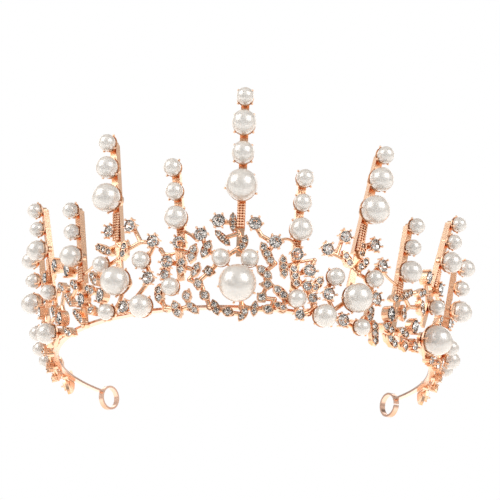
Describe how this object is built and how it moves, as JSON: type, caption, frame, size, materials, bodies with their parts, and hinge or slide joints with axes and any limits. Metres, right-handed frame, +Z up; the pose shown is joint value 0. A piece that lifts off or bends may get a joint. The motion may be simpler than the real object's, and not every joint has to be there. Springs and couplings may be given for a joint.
{
  "type": "bridal crown",
  "caption": "Open-backed bridal crown with pearl-topped spires and pierced floral castings on a sprung base strip with end loops.",
  "frame": {"origin": "on the axis of the base ring, in the plane that the crown stands on", "axes": "+Z up as worn, -Y towards the front of the crown, +X to the right as seen from the front"},
  "size_m": [0.1859, 0.1473, 0.0806],
  "materials": {
    "rose_gold": "polished rose gold plating on cast alloy",
    "strip_gold": "polished rose gold plating on flat strip",
    "pearl": "ivory pearl lacquer",
    "crystal": "clear faceted crystal, foiled behind"
  },
  "bodies": {
    "root": {"base_strip": "strip_gold", "bridge_wires": "rose_gold", "centre_band_pearls": "pearl", "centre_casting": "rose_gold", "centre_leaf_stones": "crystal", "centre_pearl": "pearl", "centre_rhinestones": "crystal", "centre_spire": "rose_gold", "centre_spire_pearls": "pearl", "end_loops": "strip_gold", "left_back_spire": "rose_gold", "left_back_spire_pearls": "pearl", "left_inner_band_pearls": "pearl", "left_inner_casting": "rose_gold", "left_inner_leaf_stones": "crystal", "left_inner_rhinestones": "crystal", "left_inner_spire": "rose_gold", "left_inner_spire_pearls": "pearl", "left_outer_band_pearls": "pearl", "left_outer_casting": "rose_gold", "left_outer_leaf_stones": "crystal", "left_outer_rhinestones": "crystal", "left_rear_band_pearls": "pearl", "left_rear_casting": "rose_gold", "left_rear_spire": "rose_gold", "left_rear_spire_pearls": "pearl", "left_rear_stones": "crystal", "left_side_band_pearls": "pearl", "left_side_casting": "rose_gold", "left_side_leaf_stones": "crystal", "left_side_rhinestones": "crystal", "left_side_spire": "rose_gold", "left_side_spire_pearls": "pearl", "left_tall_spire": "rose_gold", "left_tall_spire_pearls": "pearl", "right_back_spire": "rose_gold", "right_back_spire_pearls": "pearl", "right_inner_band_pearls": "pearl", "right_inner_casting": "rose_gold", "right_inner_leaf_stones": "crystal", "right_inner_rhinestones": "crystal", "right_inner_spire": "rose_gold", "right_inner_spire_pearls": "pearl", "right_outer_band_pearls": "pearl", "right_outer_casting": "rose_gold", "right_outer_leaf_stones": "crystal", "right_outer_rhinestones": "crystal", "right_rear_band_pearls": "pearl", "right_rear_casting": "rose_gold", "right_rear_spire": "rose_gold", "right_rear_spire_pearls": "pearl", "right_rear_stones": "crystal", "right_side_band_pearls": "pearl", "right_side_casting": "rose_gold", "right_side_leaf_stones": "crystal", "right_side_rhinestones": "crystal", "right_side_spire": "rose_gold", "right_side_spire_pearls": "pearl", "right_tall_spire": "rose_gold", "right_tall_spire_pearls": "pearl"}
  },
  "joints": []
}
